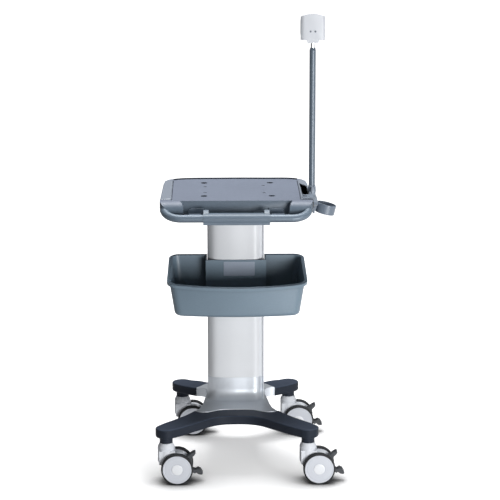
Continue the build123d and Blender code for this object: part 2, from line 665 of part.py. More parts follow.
with BuildPart() as tray_top:
    with BuildSketch(ground(TRAY_BOT)):
        with BuildLine():
            Polyline(*tray_points(), close=True)
        make_face()
        fillet(vertices().group_by(Axis.Y)[-1], 40)
    extrude(amount=TRAY_TOP - TRAY_BOT)
    # horns that carry the handle: a nose curving down towards the bar
    for sx in (-1, 1):
        with BuildSketch(facing_right(sx * 238)):
            with BuildLine():
                Line((TRAY_FRONT + 14, TRAY_BOT - 8), (TRAY_FRONT + 14, TRAY_TOP))
                Line((TRAY_FRONT + 14, TRAY_TOP), (TRAY_FRONT + 2, TRAY_TOP))
                ThreePointArc((TRAY_FRONT + 2, TRAY_TOP), (HORN_Y + 9, TRAY_TOP - 12), (HORN_Y, TRAY_TOP - 36))
                Line((HORN_Y, TRAY_TOP - 36), (HORN_Y + 3, TRAY_BOT - 8))
                Line((HORN_Y + 3, TRAY_BOT - 8), (TRAY_FRONT + 14, TRAY_BOT - 8))
            make_face()
        extrude(amount=-sx * (238 - 163))
        # the inner flank leans out towards the top
        with BuildSketch(facing_front(TRAY_FRONT + 0.01)):
            with BuildLine():
                Polyline((sx * 150, TRAY_BOT - 9), (sx * 163, TRAY_BOT - 9), (sx * 165, TRAY_TOP - 16), (sx * 168.5, TRAY_TOP - 6),
                         (sx * 175.5, TRAY_TOP + 1), (sx * 150, TRAY_TOP + 1), close=True)
            make_face()
        extrude(amount=60, mode=Mode.SUBTRACT)
        # rounded outer corner of the horn, seen from above and from the front
        with BuildSketch(ground(TRAY_BOT - 10)):
            with BuildLine():
                Line((sx * 238.0, HORN_Y + 34), (sx * 246, HORN_Y + 34))
                Line((sx * 246, HORN_Y + 34), (sx * 246, HORN_Y - 6))
                Line((sx * 246, HORN_Y - 6), (sx * 204, HORN_Y - 6))
                Line((sx * 204, HORN_Y - 6), (sx * 204, HORN_Y))
                ThreePointArc((sx * 204, HORN_Y), (sx * 228.0, HORN_Y + 9.9), (sx * 238.0, HORN_Y + 34))
            make_face()
        extrude(amount=60, mode=Mode.SUBTRACT)
        with BuildSketch(facing_front(HORN_Y - 4)):
            with BuildLine():
                Spline((sx * 238.6, 856), (sx * 236.4, 843), (sx * 231, 834), (sx * 222, 826), (sx * 206, 820.5))
                Polyline((sx * 206, 820.5), (sx * 206, 812), (sx * 248, 812), (sx * 248, 856), (sx * 238.6, 856))
            make_face()
        extrude(amount=-(TRAY_FRONT + 16 - HORN_Y + 4), mode=Mode.SUBTRACT)
    # soft outer top edge and back corners
    fillet(tray_top.edges().filter_by(lambda e: abs(e.center().Z - TRAY_TOP) < 0.1 and
                                      (abs(e.center().X - XO) > 205 or e.center().Y > YO + 205)
                                      and e.center().Y > YO - 101), 5.0)
    # hollow underneath
    with BuildSketch(ground(TRAY_BOT - 9)):
        with BuildLine():
            inner = tray_points(TRAY_T)
            Polyline(*([(184, TRAY_FRONT + 22), (234.4, TRAY_FRONT + 22)] + inner[2:-2]
                       + [(-234.4, TRAY_FRONT + 22), (-184, TRAY_FRONT + 22), (-172, TRAY_FRONT + TRAY_T),
                          (172, TRAY_FRONT + TRAY_T)]), close=True)
        make_face()
        fillet(vertices().group_by(Axis.Y)[-1], 36)
    extrude(amount=TRAY_TOP - TRAY_T - TRAY_BOT + 9, mode=Mode.SUBTRACT)
    # skirt below the recessed front wall
    with BuildSketch(ground(816)):
        with Locations((0, TRAY_FRONT + 1.3)):
            Rectangle(320, 2.6)
    extrude(amount=20)
    # seats of the two side rails
    for sx in (-1, 1):
        with BuildSketch(ground(861)):
            with BuildLine():
                Polyline(*[(sx * x, y) for x, y in ((RAIL_IN - 1.5, -101.5), (RAIL_IN - 1.5, 206), (211.5, 217.5), (240, 204),
                                                    (246, -101.5))], close=True)
            make_face()
        extrude(amount=14, mode=Mode.SUBTRACT)
    # floor under the rails
    for sx in (-1, 1):
        with BuildSketch(ground(857)):
            with BuildLine():
                Polyline(*[(sx * x, y) for x, y in ((RAIL_IN - 5.5, -108), (RAIL_IN - 5.5, 210), (210.5, 221.5), (224, 214),
                                                    (229, 150), (232, 0), (234, -90), (234, -108))], close=True)
            make_face()
        extrude(amount=4)
        with BuildSketch(ground(861)):
            with BuildLine():
                Polyline(*[(sx * x, y) for x, y in ((RAIL_IN - 5.5, -105.5), (RAIL_IN - 5.5, 210), (210.5, 221.5), (216, 218),
                                                    (211.5, 217.5), (RAIL_IN - 1.5, 206), (RAIL_IN - 1.5, -101.5), (234, -101.5),
                                                    (234, -105.5))], close=True)
            make_face()
        extrude(amount=6)
    # opening for the side pocket
    with BuildSketch(ground(834)):
        with BuildLine():
            Polyline(*SLOT, close=True)
        make_face()
    extrude(amount=46, mode=Mode.SUBTRACT)
    # step down behind the line of the rear lip
    with BuildSketch(ground(TRAY_TOP - 1.2)):
        with BuildLine():
            Spline(*[(x, y - 0.3) for x, y in LIP])
            Polyline((LIP[-1][0], LIP[-1][1] - 0.3), (246, 217), (246, 262), (-246, 262), (-246, 217), (LIP[0][0], LIP[0][1] - 0.3))
        make_face()
    extrude(amount=8, mode=Mode.SUBTRACT)
    # pockets for the scanner's feet and holes for the tray's screws
    with BuildSketch(ground(TRAY_TOP - 8)):
        with Locations((FOOT_C[0], FOOT_C[1])):
            with GridLocations(FOOT_PITCH, FOOT_PITCH, 2, 2):
                Circle(FOOT_R)
        with Locations(*TSCREW):
            Circle(2.7)
    extrude(amount=12, mode=Mode.SUBTRACT)
    with BuildSketch(ground(TRAY_TOP - 2.8)):
        with Locations(*TSCREW):
            Circle(5.2)
    extrude(amount=6, mode=Mode.SUBTRACT)
    # sockets for the handle's ends
    with BuildLine() as socket_line:
        FilletPolyline(*HB, radius=BAR_BEND)
    with BuildSketch(Plane(origin=HB[0], x_dir=(1, 0, 0), z_dir=(0, -80, -27))):
        Circle(BAR_R + 0.1)
    sweep(path=socket_line.wires()[0], mode=Mode.SUBTRACT)
save(tray_top, "tray_top")

with BuildPart() as tray_bottom:
    with BuildSketch(ground(TRAY_BOT - 3)):
        with BuildLine():
            Polyline((156, TRAY_FRONT + 5), (174, TRAY_FRONT + 24), (229, TRAY_FRONT + 24), (230.4, 0), (227.5, 150),
                     (217.5, TRAY_BACK - 4.5), (-217.5, TRAY_BACK - 4.5), (-227.5, 150), (-230.4, 0), (-229, TRAY_FRONT + 24),
                     (-174, TRAY_FRONT + 24), (-156, TRAY_FRONT + 5), close=True)
        make_face()
        fillet(vertices().group_by(Axis.Y)[-1], 35)
        with Locations((0, 110)):
            Rectangle(2 * COL_W + 5, 104, mode=Mode.SUBTRACT)
        with Locations((-180, -60), (180, -60), (-180, 80), (180, 80), (-180, 200), (180, 200)):
            Circle(2.2, mode=Mode.SUBTRACT)
    extrude(amount=3)
    with BuildSketch(ground(TRAY_BOT)):
        with Locations((-180, -60), (180, -60), (-180, 80), (180, 80), (-180, 200), (180, 200)):
            Circle(5)
            Circle(1.7, mode=Mode.SUBTRACT)
    extrude(amount=14)
save(tray_bottom, "tray_bottom")

with BuildPart() as tray_bottom_screws:
    with BuildSketch(ground(TRAY_BOT - 3)):
        with Locations((-180, -60), (180, -60), (-180, 80), (180, 80), (-180, 200), (180, 200)):
            Circle(3.6)
    extrude(amount=-2.0)
    with BuildSketch(ground(TRAY_BOT - 3)):
        with Locations((-180, -60), (180, -60), (-180, 80), (180, 80), (-180, 200), (180, 200)):
            Circle(1.6)
    extrude(amount=14)
save(tray_bottom_screws, "tray_bottom_screws")

for rail_side, sx in (("left", -1), ("right", 1)):
    with BuildPart() as rail:
        with BuildSketch(ground(861.2)):
            with BuildLine():
                Polyline(*[(sx * x, y) for x, y in RAIL], close=True)
            make_face()
            fillet(vertices().sort_by(Axis.Y)[:2], 6)
        extrude(amount=RAIL_TOP - 861.2)
        fillet(rail.faces().sort_by(Axis.Z)[-1].edges(), 4.5)
        if sx > 0:
            with BuildSketch(ground(850)):
                with BuildLine():
                    Polyline(*SLOT, close=True)
                make_face()
            extrude(amount=40, mode=Mode.SUBTRACT)
    save(rail, "tray_" + rail_side + "_rail")

with BuildPart() as side_slot_liner:
    with BuildSketch(ground(835)):
        with BuildLine():
            Polyline((208.4, -43.5), (229.0, -54.2), (227.4, 103.8), (206.6, 148.4), close=True)
        make_face()
    extrude(amount=870 - 835)
    with BuildSketch(ground(837)):
        with BuildLine():
            Polyline(*SLOT_IN, close=True)
        make_face()
    extrude(amount=40, mode=Mode.SUBTRACT)
save(side_slot_liner, "side_slot_liner")

with BuildPart() as tray_rear_lip:
    with BuildSketch(ground(TRAY_TOP - 1.2)):
        with BuildLine():
            outer = [(x * 1.009, y + 3.0) for x, y in reversed(LIP[1:-1])]
            Spline(*LIP[1:-1])
            Line(LIP[-2], outer[0])
            Spline(*outer)
            Line(outer[-1], LIP[1])
        make_face()
    extrude(amount=5.2)
save(tray_rear_lip, "tray_rear_lip")

with BuildPart() as tray_screws:
    for x, y in TSCREW:
        with BuildSketch(Plane(origin=(XO + x, YO + y, 0), x_dir=(1, 0, 0), z_dir=(0, -1, 0))):
            with BuildLine():
                Polyline((0, COL_TOP + 1), (2.4, COL_TOP + 1), (2.4, TRAY_TOP - 2.7), (4.8, TRAY_TOP - 2.7),
                         (4.6, TRAY_TOP - 1.4), (3.4, TRAY_TOP - 0.6), (1.7, TRAY_TOP - 0.4), (1.7, TRAY_TOP - 1.6),
                         (0, TRAY_TOP - 1.6), close=True)
            make_face()
        revolve(axis=Axis((XO + x, YO + y, 0), (0, 0, 1)))
save(tray_screws, "tray_screws")

# ---------------------------------------------------------------------------
# handle
# ---------------------------------------------------------------------------
with BuildPart() as handle_bar:
    with BuildLine() as bar_line:
        FilletPolyline(*HB, radius=BAR_BEND)
    with BuildSketch(Plane(origin=HB[0], x_dir=(1, 0, 0), z_dir=(0, -80, -27))):
        Circle(BAR_R)
        Circle(BAR_R - 2.0, mode=Mode.SUBTRACT)
    sweep(path=bar_line.wires()[0])
save(handle_bar, "handle_bar")

with BuildPart() as handle_grip:
    with BuildSketch(facing_right(-GRIP_X)):
        with Locations((BAR_Y, BAR_H)):
            Circle(BAR_R + 1.9)
        # upper lip running back and up, lower flange hanging under the bar
        with BuildLine():
            Polyline((BAR_Y - 2, BAR_H + 13.6), (BAR_Y + 14, BAR_H + 12.6), (BAR_Y + 25, BAR_H + 12.2), (BAR_Y + 28, BAR_H + 9.6),
                     (BAR_Y + 25, BAR_H + 7), (BAR_Y + 10, BAR_H + 2), close=True)
        make_face()
        with BuildLine():
            Polyline((BAR_Y - 9, BAR_H - 9), (BAR_Y - 7, BAR_H - 19.5), (BAR_Y + 8, BAR_H - 19.5), (BAR_Y + 11, BAR_H - 8), close=True)
        make_face()
    extrude(amount=2 * GRIP_X)
    # raised lobes at the ends
    for sx in (-1, 1):
        with BuildSketch(facing_right(sx * (GRIP_X - 9) - 8)):
            with BuildLine():
                Polyline((BAR_Y + 2, BAR_H + 11), (BAR_Y + 12, BAR_H + 19.5), (BAR_Y + 25, BAR_H + 22.5), (BAR_Y + 30, BAR_H + 15),
                         (BAR_Y + 26, BAR_H + 8.4), close=True)
            make_face()
        extrude(amount=16)
    with BuildSketch(facing_right(-GRIP_X - 5)):
        with Locations((BAR_Y, BAR_H)):
            Circle(BAR_R + 0.04)
    extrude(amount=2 * GRIP_X + 10, mode=Mode.SUBTRACT)
save(handle_grip, "handle_grip")

with BuildPart() as handle_stays:
    for sx in (-1, 1):
        with BuildSketch(facing_front(TRAY_FRONT - 0.2, sx * 125.5, 831)):
            Rectangle(49, 31)
            fillet(vertices().group_by(Axis.Y)[-1].sort_by(Axis.X)[-1 if sx > 0 else 0], 12)
        extrude(amount=6)
        with BuildSketch(facing_right(sx * 128.5 - 19)):
            with BuildLine():
                Polyline((TRAY_FRONT - 5, 831), (TRAY_FRONT - 5, 818), (BAR_Y + 4, 819), (BAR_Y + 4, 829), close=True)
            make_face()
        extrude(amount=38)
        with BuildSketch(facing_right(sx * 128.5 - 30)):
            with Locations((BAR_Y, BAR_H)):
                Circle(BAR_R + 0.04)
        extrude(amount=60, mode=Mode.SUBTRACT)
save(handle_stays, "handle_stays")

# ---------------------------------------------------------------------------
# pole, its bracket and head
# ---------------------------------------------------------------------------
with BuildPart() as side_bracket:
    # strap over the rail's edge and down the outside of the tray, seen from the front
    with BuildSketch(facing_front(-2)):
        with BuildLine():
            Polyline((206, RAIL_TOP), (206, RAIL_TOP + 3.2), (208, RAIL_TOP + 4.4), (236, RAIL_TOP + 4.4), (245, RAIL_TOP + 1.0),
                     (252, 866), (255.6, 857), (254.6, 850), (251.6, 843), (249.6, 836), (247.6, 824), (246.6, 812),
                     (241.4, 812), (241.8, 824), (242.6, 838), (242.4, 850), (241.4, 860), (239.4, 868), (238.2, RAIL_TOP),
                     close=True)
        make_face()
    extrude(amount=98.8)
    # the same strap seen from the side
    with BuildSketch(facing_right(190)):
        with BuildLine():
            Polyline((-100.8, 860), (-96, 852), (-78, 846), (-60, 840), (-48, 832), (-38, 812), (-12, 812), (-5, 832),
                     (-2, 850), (-2, 890), (-100.8, 890), close=True)
        make_face()
        fillet([v for v in vertices() if v.Z < 820], 3)
    extrude(amount=90, mode=Mode.INTERSECT)
    # clear of the side pocket
    with BuildSketch(ground(RAIL_TOP - 1)):
        with BuildLine():
            Polyline((200, -57), (231.4, -57), (231.4, 10), (200, 10), close=True)
        make_face()
    extrude(amount=12, mode=Mode.SUBTRACT)
    # boot round the foot of the pole
    with BuildSketch(Plane(origin=(XO + POLE_X, YO + POLE_Y, 0), x_dir=(1, 0, 0), z_dir=(0, -1, 0))):
        with BuildLine():
            Polyline((0, RAIL_TOP), (12.6, RAIL_TOP), (13.2, RAIL_TOP + 6), (12.4, 889), (10.9, 896), (0, 896), close=True)
        make_face()
    revolve(axis=Axis((XO + POLE_X, YO + POLE_Y, 0), (0, 0, 1)))
    # outer half of the boot runs on down beside the tray
    with BuildSketch(ground(850)):
        with BuildLine():
            Polyline((238.4, -14), (250, -12), (251.6, 0), (248, 11), (238.4, 12.4), close=True)
        make_face()
    extrude(amount=RAIL_TOP - 849)
    # sloping fin from the boot down to the strap
    with BuildSketch(ground(RAIL_TOP + 1)):
        with BuildLine():
            Polyline((234, -6), (247, -6), (246.5, -60), (237, -64), close=True)
        make_face()
    with BuildSketch(ground(RAIL_TOP + 21)):
        with BuildLine():
            Polyline((236, -6), (245, -6), (244.5, -11), (238.5, -12), close=True)
        make_face()
    loft()
    with BuildSketch(ground(POLE_BOT, POLE_X, POLE_Y)):
        Circle(POLE_R + 0.02)
    extrude(amount=40, mode=Mode.SUBTRACT)
    with BuildSketch(ground(RAIL_TOP + 6, 214, -88)):
        Circle(2.6)
    extrude(amount=-8, mode=Mode.SUBTRACT)
save(side_bracket, "side_bracket")

with BuildPart() as bracket_screw:
    with BuildSketch(Plane(origin=(XO + 214, YO - 88, 0), x_dir=(1, 0, 0), z_dir=(0, -1, 0))):
        with BuildLine():
            Polyline((0, 873.1), (2.5, 873.1), (2.5, 877.5), (5.6, 877.5), (5.3, 879.6), (3.9, 880.8), (2.0, 881.0),
                     (2.0, 879.4), (0, 879.4), close=True)
        make_face()
    revolve(axis=Axis((XO + 214, YO - 88, 0), (0, 0, 1)))
save(bracket_screw, "bracket_screw")

with BuildPart() as pole_tube:
    with BuildSketch(Plane(origin=(XO + POLE_X, YO + POLE_Y, 0), x_dir=(1, 0, 0), z_dir=(0, -1, 0))):
        with BuildLine():
            Polyline((7.6, POLE_BOT), (POLE_R, POLE_BOT), (POLE_R, POLE_TOP - 7.5), (POLE_R - 0.6, POLE_TOP - 6), (7.2, POLE_TOP),
                     (ROD_R + RUN, POLE_TOP), (ROD_R + RUN, POLE_TOP - 60), (7.6, POLE_TOP - 64), close=True)
        make_face()
    revolve(axis=Axis((XO + POLE_X, YO + POLE_Y, 0), (0, 0, 1)))
save(pole_tube, "pole_tube")

with BuildPart() as pole_stem:
    with BuildSketch(ground(POLE_TOP - 58, POLE_X, POLE_Y)):
        Circle(ROD_R)
    extrude(amount=1396 - POLE_TOP + 58)
    chamfer(pole_stem.edges().sort_by(Axis.Z)[-1], 0.8)
save(pole_stem, "pole_stem")

with BuildPart() as head_block:
    with BuildSketch(ground(1368, POLE_X, POLE_Y)):
        with Locations((0, -0.4)):
            RectangleRounded(26, 18.8, 3)
        Circle(ROD_R + 0.02, mode=Mode.SUBTRACT)
    extrude(amount=30)
    with BuildSketch(facing_front(-9.9, POLE_X, 1383)):
        with Locations((-7.4, 0), (7.4, 0)):
            Circle(1.5)
    extrude(amount=-6, mode=Mode.SUBTRACT)
save(head_block, "head_block")

with BuildPart() as head_plate:
    # bent section: flat middle, cheeks turned back, hooked edges
    with BuildSketch(ground(1340, POLE_X, POLE_Y)):
        with BuildLine():
            Polyline((-38, 15), (-38, -3), (-35.8, -7), (-27, -12.4), (27, -12.4), (35.8, -7), (38, -3), (38, 15),
                     (35.6, 15), (35.6, -2.2), (34.2, -5), (26.4, -9.9), (-26.4, -9.9), (-34.2, -5), (-35.6, -2.2), (-35.6, 15),
                     close=True)
        make_face()
    extrude(amount=110)
    # outline seen from the front, with a tab at the foot
    with BuildSketch(facing_front(40, POLE_X)):
        with BuildLine():
            Line((-38, 1356), (-38, 1429))
            ThreePointArc((-38, 1429), (0, 1438), (38, 1429))
            Polyline((38, 1429), (38, 1356), (19, 1356), (18, 1350.5), (15, 1346.5), (-15, 1346.5), (-18, 1350.5), (-19, 1356),
                     (-38, 1356))
        make_face()
    extrude(amount=80, mode=Mode.INTERSECT)
    # the hooked edges stand only along the middle
    with BuildSketch(facing_front(40, POLE_X)):
        with Locations((-37, 1433), (37, 1433), (-37, 1356), (37, 1356)):
            Rectangle(8, 32)
    extrude(amount=43.2, mode=Mode.SUBTRACT)
    with BuildSketch(facing_front(0, POLE_X, 1383)):
        with Locations((-7.4, 0), (7.4, 0)):
            Circle(1.8)
    extrude(amount=20, mode=Mode.SUBTRACT)
save(head_plate, "head_plate")

with BuildPart() as head_screws:
    with BuildSketch(facing_front(-12.4, POLE_X, 1383)):
        with Locations((-7.4, 0), (7.4, 0)):
            Circle(2.9)
    extrude(amount=1.4)
    with BuildSketch(facing_front(-12.4, POLE_X, 1383)):
        with Locations((-7.4, 0), (7.4, 0)):
            Circle(1.45)
    extrude(amount=-8.0)
    with BuildSketch(facing_front(-13.8, POLE_X, 1383)):
        with Locations((-7.4, 0), (7.4, 0)):
            RegularPolygon(1.3, 6)
    extrude(amount=-1.0, mode=Mode.SUBTRACT)
save(head_screws, "head_screws")

tilt = radians(RING_TILT)
RING = Plane(origin=(XO + RING_C[0], YO + RING_C[1], RING_C[2]), x_dir=(cos(tilt), 0, -sin(tilt)), z_dir=(sin(tilt), 0, cos(tilt)))
with BuildPart() as ring_holder:
    with BuildSketch(RING.offset(-RING_H / 2)):
        Circle(RING_R)
    extrude(amount=RING_H)
    fillet(ring_holder.edges(), 1.0)
    # foot that the ring is screwed on by
    with BuildSketch(facing_front(RING_C[1])):
        with BuildLine():
            Polyline((247.7, 821), (249.95, 836), (254.7, 836), (251.0, 821), close=True)
        make_face()
    extrude(amount=10, both=True)
    with BuildSketch(RING.offset(-RING_H)):
        Circle(RING_R - RING_T)
    extrude(amount=2 * RING_H, mode=Mode.SUBTRACT)
    with BuildSketch(RING.offset(-RING_H)):
        with Locations((RING_R, 4)):
            Rectangle(12, 9)
    extrude(amount=2 * RING_H, mode=Mode.SUBTRACT)
save(ring_holder, "ring_holder")
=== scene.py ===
import bpy, bmesh, json, math
from mathutils import Vector, Matrix


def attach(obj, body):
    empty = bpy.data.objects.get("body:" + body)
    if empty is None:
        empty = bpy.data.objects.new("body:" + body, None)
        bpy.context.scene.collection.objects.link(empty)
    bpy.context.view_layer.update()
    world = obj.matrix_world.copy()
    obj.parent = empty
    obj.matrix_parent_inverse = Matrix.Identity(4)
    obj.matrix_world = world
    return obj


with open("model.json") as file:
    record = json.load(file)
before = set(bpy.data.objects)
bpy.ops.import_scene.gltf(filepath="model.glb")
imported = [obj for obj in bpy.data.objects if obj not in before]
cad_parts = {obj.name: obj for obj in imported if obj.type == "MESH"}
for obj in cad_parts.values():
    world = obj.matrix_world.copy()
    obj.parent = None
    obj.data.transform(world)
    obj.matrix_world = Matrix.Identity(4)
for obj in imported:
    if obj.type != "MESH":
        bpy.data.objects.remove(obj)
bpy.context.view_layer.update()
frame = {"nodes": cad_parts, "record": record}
nodes = frame["nodes"]
scene = bpy.context.scene

# working origin of the CAD source, in metres
XO, YO = -0.0404, -0.0125


def at(x, y, z):
    """a point given in the working millimetres of the CAD source"""
    return Vector((x / 1000 + XO, y / 1000 + YO, z / 1000))


# ---------------------------------------------------------------------------
# materials
# ---------------------------------------------------------------------------
def srgb(r, g, b):
    def f(c):
        return c / 12.92 if c <= 0.04045 else ((c + 0.055) / 1.055) ** 2.4
    return (f(r), f(g), f(b), 1.0)


def shade(c, k):
    return (min(c[0] * k, 1), min(c[1] * k, 1), min(c[2] * k, 1), 1.0)


class Mat:
    """small helper around one node tree"""

    def __init__(self, name):
        self.m = bpy.data.materials.new(name)
        self.m.use_nodes = True
        self.t = self.m.node_tree
        self.t.nodes.clear()
        self.out = self.t.nodes.new("ShaderNodeOutputMaterial")
        self.p = self.t.nodes.new("ShaderNodeBsdfPrincipled")
        self.t.links.new(self.p.outputs[0], self.out.inputs[0])
        self.tc = self.t.nodes.new("ShaderNodeTexCoord")

    def link(self, a, b):
        self.t.links.new(a, b)

    def mapped(self, scale):
        n = self.t.nodes.new("ShaderNodeMapping")
        n.inputs["Scale"].default_value = scale if isinstance(scale, tuple) else (scale, scale, scale)
        self.link(self.tc.outputs["Object"], n.inputs["Vector"])
        return n.outputs[0]

    def noise(self, scale, detail=3.0, rough=0.55, stretch=None):
        n = self.t.nodes.new("ShaderNodeTexNoise")
        n.inputs["Scale"].default_value = scale
        n.inputs["Detail"].default_value = detail
        n.inputs["Roughness"].default_value = rough
        self.link(self.mapped(stretch) if stretch else self.tc.outputs["Object"], n.inputs["Vector"])
        return n.outputs["Fac"]

    def ramp(self, fac, stops):
        n = self.t.nodes.new("ShaderNodeValToRGB")
        el = n.color_ramp.elements
        while len(el) < len(stops):
            el.new(0.5)
        for e, (p, c) in zip(el, stops):
            e.position = p
            e.color = c if len(c) == 4 else (*c, 1)
        self.link(fac, n.inputs[0])
        return n.outputs[0]

    def span(self, fac, a, b, lo=0.0, hi=1.0):
        n = self.t.nodes.new("ShaderNodeMapRange")
        n.inputs["From Min"].default_value = lo
        n.inputs["From Max"].default_value = hi
        n.inputs["To Min"].default_value = a
        n.inputs["To Max"].default_value = b
        self.link(fac, n.inputs["Value"])
        return n.outputs[0]

    def math(self, op, a, b):
        n = self.t.nodes.new("ShaderNodeMath")
        n.operation = op
        for i, v in enumerate((a, b)):
            if isinstance(v, (int, float)):
                n.inputs[i].default_value = v
            else:
                self.link(v, n.inputs[i])
        return n.outputs[0]

    def mix(self, fac, a, b):
        n = self.t.nodes.new("ShaderNodeMix")
        n.data_type = "RGBA"
        self.link(fac, n.inputs[0])
        for i, v in ((6, a), (7, b)):
            if isinstance(v, tuple):
                n.inputs[i].default_value = v
            else:
                self.link(v, n.inputs[i])
        return n.outputs[2]

    def edge(self, radius):
        """1 on sharp convex edges, 0 elsewhere, and the rounded normal"""
        bev = self.t.nodes.new("ShaderNodeBevel")
        bev.samples = 6
        bev.inputs["Radius"].default_value = radius
        geo = self.t.nodes.new("ShaderNodeNewGeometry")
        dot = self.t.nodes.new("ShaderNodeVectorMath")
        dot.operation = "DOT_PRODUCT"
        self.link(bev.outputs[0], dot.inputs[0])
        self.link(geo.outputs["True Normal"], dot.inputs[1])
        return self.span(dot.outputs["Value"], 1.0, 0.0, 0.75, 0.985), bev.outputs[0]

    def bump(self, height, strength, distance, normal=None):
        n = self.t.nodes.new("ShaderNodeBump")
        n.inputs["Strength"].default_value = strength
        n.inputs["Distance"].default_value = distance
        self.link(height, n.inputs["Height"])
        if normal is not None:
            self.link(normal, n.inputs["Normal"])
        return n.outputs[0]


def plastic(name, base, rough=0.45, grain=900.0, depth=0.00006, edge_r=0.0012, wear=1.18, mottle=0.05, spec=0.45):
    """moulded plastic: spark-eroded grain, faint flow mottling, edges rubbed a little lighter"""
    m = Mat(name)
    big = m.noise(6.0, 3.0)
    fine = m.noise(grain, 2.0)
    edge, normal = m.edge(edge_r)
    col = m.ramp(big, [(0.3, shade(base, 1 - mottle)), (0.7, shade(base, 1 + mottle))])
    speck = m.ramp(fine, [(0.35, (0.93, 0.93, 0.93)), (0.65, (1.06, 1.06, 1.06))])
    mul = m.t.nodes.new("ShaderNodeMix")
    mul.data_type = "RGBA"
    mul.blend_type = "MULTIPLY"
    mul.inputs[0].default_value = 1.0
    m.link(col, mul.inputs[6])
    m.link(speck, mul.inputs[7])
    scuff = m.noise(55.0, 4.0)
    worn = m.math("MULTIPLY", edge, m.span(scuff, 0.15, 1.0, 0.35, 0.65))
    m.link(m.mix(worn, mul.outputs[2], shade(base, wear)), m.p.inputs["Base Color"])
    m.link(m.span(m.math("ADD", m.math("MULTIPLY", fine, 0.5), m.math("MULTIPLY", scuff, 0.5)), rough - 0.07, rough + 0.09), m.p.inputs["Roughness"])
    m.p.inputs["Specular IOR Level"].default_value = spec
    m.link(m.bump(fine, 0.35, depth, normal), m.p.inputs["Normal"])
    return m.m


def coat(name, base, rough=0.38, peel=420.0, edge_r=0.0012, wear=1.15, metallic=0.0, depth=0.00005, spec=0.5):
    """sprayed satin coat on metal: orange peel, thin bright edges, fine dust"""
    m = Mat(name)
    peelf = m.noise(peel, 2.0)
    dust = m.noise(28.0, 5.0, 0.65)
    big = m.noise(4.0, 2.0)
    edge, normal = m.edge(edge_r)
    col = m.ramp(big, [(0.3, shade(base, 0.965)), (0.7, shade(base, 1.03))])
    dusty = m.mix(m.span(dust, 0.0, 0.14, 0.45, 0.8), col, shade(base, 1.12))
    worn = m.math("MULTIPLY", edge, m.span(dust, 0.2, 1.0, 0.35, 0.65))
    m.link(m.mix(worn, dusty, shade(base, wear)), m.p.inputs["Base Color"])
    m.p.inputs["Metallic"].default_value = metallic
    m.p.inputs["Specular IOR Level"].default_value = spec
    m.link(m.span(m.math("ADD", m.math("MULTIPLY", peelf, 0.4), m.math("MULTIPLY", dust, 0.6)), rough - 0.08, rough + 0.1), m.p.inputs["Roughness"])
    m.link(m.bump(peelf, 0.3, depth, normal), m.p.inputs["Normal"])
    return m.m


def cast(name, base, rough=0.3):
    """die-cast aluminium under a thin clear coat"""
    m = Mat(name)
    grain = m.noise(700.0, 3.0)
    flow = m.noise(12.0, 4.0, 0.6)
    edge, normal = m.edge(0.0015)
    col = m.ramp(flow, [(0.3, shade(base, 0.93)), (0.7, shade(base, 1.05))])
    m.link(m.mix(m.math("MULTIPLY", edge, 0.6), col, shade(base, 1.25)), m.p.inputs["Base Color"])
    m.p.inputs["Metallic"].default_value = 0.6
    m.link(m.span(m.math("ADD", m.math("MULTIPLY", grain, 0.5), m.math("MULTIPLY", flow, 0.5)), rough - 0.06, rough + 0.1), m.p.inputs["Roughness"])
    m.link(m.bump(grain, 0.25, 0.00005, normal), m.p.inputs["Normal"])
    return m.m


def steel(name, base, rough=0.28, stretch=(900.0, 900.0, 40.0)):
    """turned or brushed steel with fine lines"""
    m = Mat(name)
    lines = m.noise(1.0, 3.0, 0.6, stretch=stretch)
    stain = m.noise(30.0, 4.0)
    edge, normal = m.edge(0.0006)
    col = m.ramp(lines, [(0.3, shade(base, 0.86)), (0.7, shade(base, 1.1))])
    m.link(m.mix(m.span(stain, 0.0, 0.2, 0.45, 0.8), col, shade(base, 0.7)), m.p.inputs["Base Color"])
    m.p.inputs["Metallic"].default_value = 1.0
    m.link(m.span(m.math("ADD", m.math("MULTIPLY", lines, 0.6), m.math("MULTIPLY", stain, 0.4)), rough - 0.06, rough + 0.12), m.p.inputs["Roughness"])
    m.link(m.bump(lines, 0.25, 0.00004, normal), m.p.inputs["Normal"])
    return m.m


def rubber(name, base):
    """non-marking tread: matt, slightly dusty"""
    m = Mat(name)
    fine = m.noise(1100.0, 3.0)
    dust = m.noise(45.0, 5.0, 0.7)
    edge, normal = m.edge(0.0008)
    col = m.mix(m.span(dust, 0.0, 0.45, 0.4, 0.75), base, shade(base, 1.5))
    m.link(col, m.p.inputs["Base Color"])
    m.link(m.span(fine, 0.6, 0.85, 0.3, 0.7), m.p.inputs["Roughness"])
    m.p.inputs["Specular IOR Level"].default_value = 0.3
    m.link(m.bump(fine, 0.4, 0.00006, normal), m.p.inputs["Normal"])
    return m.m


